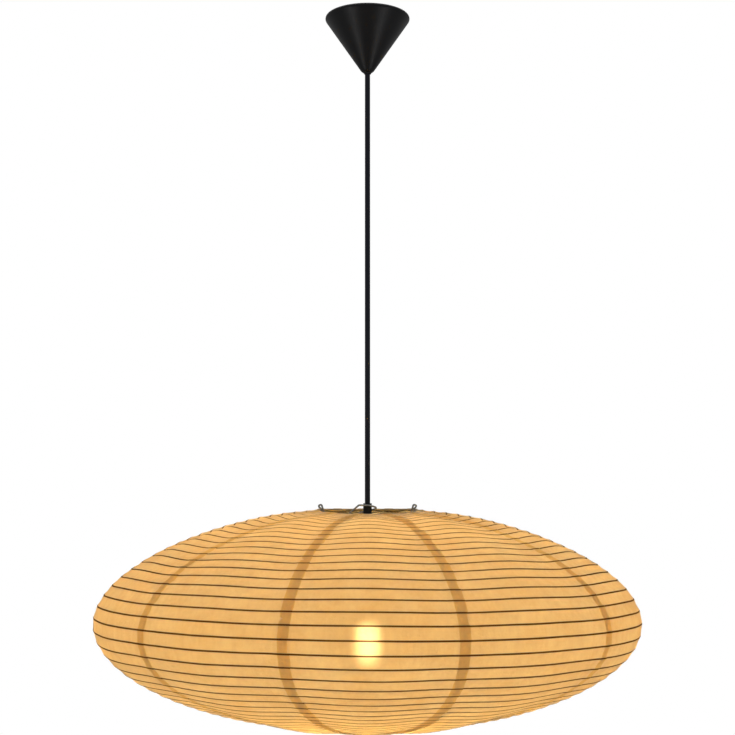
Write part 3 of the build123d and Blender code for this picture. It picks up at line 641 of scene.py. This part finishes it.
def ring_tree():
    """Tree for a tube round an opening."""
    sizes = {"Slant": 0.0, "Tube Radius": RING_TUBE_R, "Unevenness": 0.0}
    tree, given = new_tree("opening_ring", sizes)
    circle = add(tree, "GeometryNodeCurvePrimitiveCircle", {"Resolution": RING_POINTS, "Radius": 1.0})
    index = tree.nodes.new("GeometryNodeInputIndex").outputs[0]
    turn = calc(tree, "MULTIPLY", index, TURN / RING_POINTS)
    point = on_globe(tree, turn, given["Slant"], 0.0)
    placed = add(tree, "GeometryNodeSetPosition", {"Geometry": circle.outputs[0], "Position": point.outputs["Position"]})
    section = add(tree, "GeometryNodeCurvePrimitiveCircle", {"Resolution": 14, "Radius": given["Tube Radius"]})
    tube = add(tree, "GeometryNodeCurveToMesh", {"Curve": placed.outputs[0], "Profile Curve": section.outputs[0]})
    folds = add(tree, "ShaderNodeTexNoise", {"Scale": 160.0, "Detail": 2.0})
    height = calc(tree, "MULTIPLY", calc(tree, "SUBTRACT", folds.outputs["Fac"], 0.5), given["Unevenness"])
    normal = tree.nodes.new("GeometryNodeInputNormal").outputs[0]
    push = add(tree, "ShaderNodeVectorMath", {0: normal, "Scale": height}, operation="SCALE")
    uneven = add(tree, "GeometryNodeSetPosition", {"Geometry": tube.outputs[0], "Offset": push.outputs[0]})
    smooth = add(tree, "GeometryNodeSetShadeSmooth", {"Geometry": uneven.outputs[0]})
    real = add(tree, "GeometryNodeRealizeInstances", {"Geometry": smooth.outputs[0]})
    dressed = add(tree, "GeometryNodeSetMaterial", {"Geometry": real.outputs[0], "Material": given["Finish"]})
    tree.links.new(dressed.outputs[0], tree.nodes.new("NodeGroupOutput").inputs["Geometry"])
    return tree


zinc_wire = finish("galvanised_wire", (0.20, 0.20, 0.19), (0.42, 0.42, 0.41), 260, (0.35, 0.6), Metallic=0.85)
ring_nodes = ring_tree()
for place, slant, cad_ring in (("top", 0.0, "top_ring"), ("bottom", SLANT_LENGTH, "bottom_ring")):
    wire_ring = grow(ring_nodes, place + "_wire_ring", {"Slant": slant}, zinc_wire)
    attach(wire_ring, "lantern")
    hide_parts(cad_ring)
    hem_sizes = {"Slant": slant, "Tube Radius": HEM_R, "Unevenness": 0.0005}
    hem = grow(ring_nodes, place + "_paper_hem", hem_sizes, paper)
    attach(hem, "lantern")
    print(place, "ring and hem made")

# %% [markdown]
# ## Cord
# A round black cord, 6 mm thick, carries the lantern's weight and so hangs dead straight from the grip
# under the ceiling to the neck of the lampholder. It is a curve with a round bevel; its four control
# points lie on one line because nothing pushes it aside.

# %% Cord
cord_low, cord_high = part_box("cord")
CORD_R = (cord_high.x - cord_low.x) / 2
cord_colours = ((0.003, 0.004, 0.010), (0.006, 0.007, 0.016))
cord_finish = finish("black_cord_sheath", *cord_colours, 700, (0.30, 0.45), Specular_IOR_Level=0.3)
cord_curve = bpy.data.curves.new("pendant_cord", "CURVE")
cord_curve.dimensions = "3D"
cord_curve.bevel_depth = CORD_R
cord_curve.bevel_resolution = 5
cord_curve.use_fill_caps = True
cord_curve.resolution_u = 8
spline = cord_curve.splines.new("NURBS")
cord_heights = [cord_high.z, cord_high.z - 0.12, cord_low.z + 0.12, cord_low.z]
spline.points.add(len(cord_heights) - 1)
for control, height in zip(spline.points, cord_heights):
    control.co = (0, 0, height, 1)
spline.order_u = 3
spline.use_endpoint_u = True
cord_curve.materials.append(cord_finish)
pendant_cord = bpy.data.objects.new("pendant_cord", cord_curve)
bpy.context.scene.collection.objects.link(pendant_cord)
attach(pendant_cord, "drop")
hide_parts("cord")

# %% [markdown]
# ## Canopy and grommet
# The canopy is a spun steel cone under satin black paint: nearly black, with a soft sheen that draws
# upright highlights along its flanks. The paint has a very fine orange-peel relief. The grommet is matt
# rubber.

# %% Canopy and grommet
PAINT_SHEEN = 0.28
paint_colours = ((0.002, 0.002, 0.003), (0.004, 0.004, 0.005))
black_paint = finish("satin_black_paint", *paint_colours, 60, (0.34, 0.42), Specular_IOR_Level=PAINT_SHEEN)
dress(black_paint, "canopy")
rubber = finish("matt_black_rubber", (0.008, 0.008, 0.008), (0.02, 0.02, 0.02), 400, (0.6, 0.8))
dress(rubber, "grommet")

# %% [markdown]
# ## Lampholder and grip
# Both are moulded in black plastic with a faint spark texture. Inside the holder are a ceramic core,
# brass contacts and steel screws.

# %% Lampholder and ceiling parts
plastic_colours = ((0.004, 0.004, 0.005), (0.008, 0.008, 0.009))
black_plastic = finish("black_moulded_plastic", *plastic_colours, 500, (0.38, 0.55), Specular_IOR_Level=0.3)
dress(black_plastic, "holder_dome", "holder_body", "cord_grip", "cord_knot_plate")
ceramic = finish("unglazed_ceramic", (0.66, 0.64, 0.58), (0.78, 0.76, 0.70), 180, (0.7, 0.85))
dress(ceramic, "holder_core")
brass = finish("bright_brass", (0.52, 0.36, 0.13), (0.68, 0.50, 0.22), 300, (0.22, 0.4), Metallic=1.0)
dress(brass, "screw_shell", "centre_contact")
zinc_plate = finish("zinc_plated_steel", (0.40, 0.41, 0.42), (0.60, 0.61, 0.62), 220, (0.25, 0.42), Metallic=1.0)
dress(zinc_plate, "ceiling_plate", "ceiling_hook", "hook_nut", "hanger_link")
dress(zinc_plate, "terminal_screws", "grip_screw", "core_screws")
block_plastic = finish("white_block_plastic", (0.70, 0.70, 0.66), (0.80, 0.80, 0.76), 300, (0.4, 0.6))
dress(block_plastic, "terminal_block")
dress(zinc_wire, "wire_stretcher")

# %% [markdown]
# ## Lamp
# A stick-shaped lamp: metal cap, white plastic housing and an opal tube. The tube is the light source, so
# its Principled shader emits a warm light. The kind of lamp is a guess: only its bright patch is seen.

# %% Lamp
LAMP_STRENGTH = 204.0
opal = finish("lit_opal_tube", (0.92, 0.80, 0.60), (0.98, 0.88, 0.70), 60, (0.3, 0.4))
opal_surface = opal.node_tree.nodes["Principled BSDF"]
opal_surface.inputs["Emission Color"].default_value = (1.0, 0.62, 0.23, 1)
opal_surface.inputs["Emission Strength"].default_value = LAMP_STRENGTH
dress(opal, "lamp_diffuser")
lamp_plastic = finish("white_lamp_plastic", (0.76, 0.75, 0.72), (0.84, 0.83, 0.80), 300, (0.35, 0.5))
dress(lamp_plastic, "lamp_housing", "lamp_driver")
cap_metal = finish("bright_cap_metal", (0.60, 0.60, 0.61), (0.76, 0.76, 0.77), 300, (0.2, 0.35), Metallic=1.0)
dress(cap_metal, "lamp_cap", "lamp_tip", "lamp_column")
cap_glass = finish("black_cap_glass", (0.01, 0.01, 0.012), (0.02, 0.02, 0.022), 300, (0.08, 0.15))
dress(cap_glass, "lamp_insulator")

# %% [markdown]
# ## Studio
# The lantern hangs in a white room. The sky is white to the eye and dimmer as a light, so that the lamp's
# glow shows in the paper; two tall soft lights stand left and right of the camera and draw the upright
# highlights on the canopy and the cord. A pale floor lies far below.

# %% World
SKY_LIGHT = 0.30
world = bpy.data.worlds.new("white_room")
world.use_nodes = True
bpy.context.scene.world = world
sky_tree = world.node_tree
sky = sky_tree.nodes["Background"]
sky.inputs["Color"].default_value = (1, 1, 1, 1)
seen = sky_tree.nodes.new("ShaderNodeLightPath").outputs["Is Camera Ray"]
strength = sky_tree.nodes.new("ShaderNodeMapRange")
strength.inputs["To Min"].default_value = SKY_LIGHT
strength.inputs["To Max"].default_value = 1.0
sky_tree.links.new(seen, strength.inputs["Value"])
sky_tree.links.new(strength.outputs["Result"], sky.inputs["Strength"])


# %% Lights and floor
def soft_light(name, place, target, width, height, power):
    """A rectangular soft light that faces a point."""
    data = bpy.data.lights.new(name, "AREA")
    data.shape = "RECTANGLE"
    data.size = width
    data.size_y = height
    data.energy = power
    light = bpy.data.objects.new(name, data)
    light.location = place
    light.rotation_euler = (Vector(target) - Vector(place)).to_track_quat("-Z", "Y").to_euler()
    bpy.context.scene.collection.objects.link(light)


middle = (0, 0, (cad_low.z + cad_high.z) / 2)
soft_light("ceiling_bounce", (0, 0, 1.3), (0, 0, 0), 2.4, 2.4, 13)
for side, name in ((-1, "left_window"), (1, "right_window")):
    soft_light(name, (side * 1.35, -1.0, cad_low.z - 0.5), middle, 0.35, 1.6, 5)
FLOOR_Z = cad_low.z - 1.9
FLOOR_SIZE = 8.0
bpy.ops.mesh.primitive_plane_add(size=FLOOR_SIZE, location=(0, 0, FLOOR_Z))
floor = bpy.context.object
floor.name = "pale_floor"
floor.data.materials.append(finish("pale_floor", (0.78, 0.78, 0.77), (0.82, 0.82, 0.81), 4, (0.6, 0.8)))
bpy.context.scene.view_settings.view_transform = "Standard"
print("floor at", round(FLOOR_Z, 3))
